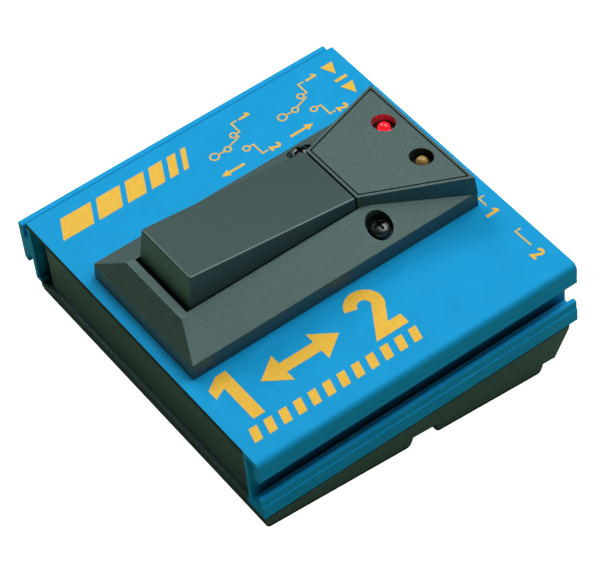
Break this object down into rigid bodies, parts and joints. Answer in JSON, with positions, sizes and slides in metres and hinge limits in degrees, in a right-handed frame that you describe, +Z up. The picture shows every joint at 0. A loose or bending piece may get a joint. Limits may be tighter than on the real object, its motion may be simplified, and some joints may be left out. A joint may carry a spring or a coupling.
{
  "type": "selector foot pedal",
  "caption": "Compact selector foot pedal: aluminium deck with side joining rails, rocking treadle, indicator lamps, jacks at the back and a sliding battery door.",
  "frame": {"origin": "on the ground, under the middle of the part's bounding box", "axes": "+X to the right seen from the foot end, +Y from the foot end to the jacks, +Z up"},
  "size_m": [0.102, 0.0972, 0.0448],
  "materials": {
    "blue_anodised_aluminium": "blue anodised, satin",
    "black_abs": "fine moulded grain",
    "grey_black_abs": "fine moulded grain",
    "rubber": "matt sheet",
    "steel": "bright zinc plate",
    "black_steel": "black zinc plate, semi-gloss",
    "switch_nylon": "satin",
    "white_acetal": "smooth",
    "circuit_board": "lacquered laminate",
    "ribbon_pvc": "smooth",
    "red_epoxy": "clear tinted, lit",
    "amber_epoxy": "clear tinted, unlit",
    "nickel_plate": "nickel plate, satin",
    "jack_nylon": "satin",
    "cell_jacket": "printed sleeve"
  },
  "bodies": {
    "case": {"deck_extrusion": "blue_anodised_aluminium", "base_tray": "black_abs", "front_sole": "rubber", "rear_sole": "rubber", "treadle_bezel": "grey_black_abs", "indicator_panel": "grey_black_abs", "hinge_pin": "steel", "treadle_spring": "steel", "foot_switch": "switch_nylon", "main_board": "circuit_board", "lamp_board": "circuit_board", "lamp_ribbon": "ribbon_pvc", "red_lamp": "red_epoxy", "amber_lamp": "amber_epoxy", "lamp_sleeves": "black_abs", "bezel_screws": "black_steel", "board_screws": "steel", "lamp_board_screws": "steel", "jack_washers": "nickel_plate", "jack_nuts": "nickel_plate", "cell_1": "cell_jacket", "cell_2": "cell_jacket", "battery_contacts": "nickel_plate", "battery_springs": "nickel_plate", "input_jack": "jack_nylon", "input_sleeve": "nickel_plate", "output_1_jack": "jack_nylon", "output_1_sleeve": "nickel_plate", "output_2_jack": "jack_nylon", "output_2_sleeve": "nickel_plate"},
    "treadle": {"treadle": "grey_black_abs"},
    "plunger": {"switch_plunger": "white_acetal"},
    "battery_door": {"battery_door": "black_abs"}
  },
  "joints": [
    {"name": "treadle_hinge", "type": "hinge", "parent": "case", "child": "treadle", "pos_m": [0, 0.00755, 0.03609], "axis": [1, 0, 0], "range_deg": [0, 4.5], "stiffness_Nm_per_rad": 1.5, "springref_deg": -4.58, "deforming": ["treadle_spring"]},
    {"name": "plunger_slide", "type": "slide", "parent": "case", "child": "plunger", "axis": [0, 0.0915, -0.9958], "range_m": [0, 0.0028]},
    {"name": "door_slide", "type": "slide", "parent": "case", "child": "battery_door", "axis": [0, 1, 0], "range_m": [0, 0.008]}
  ],
  "couplings": [
    {"joint": "plunger_slide", "follows": "treadle_hinge", "m_per_rad": 0.033965}
  ]
}
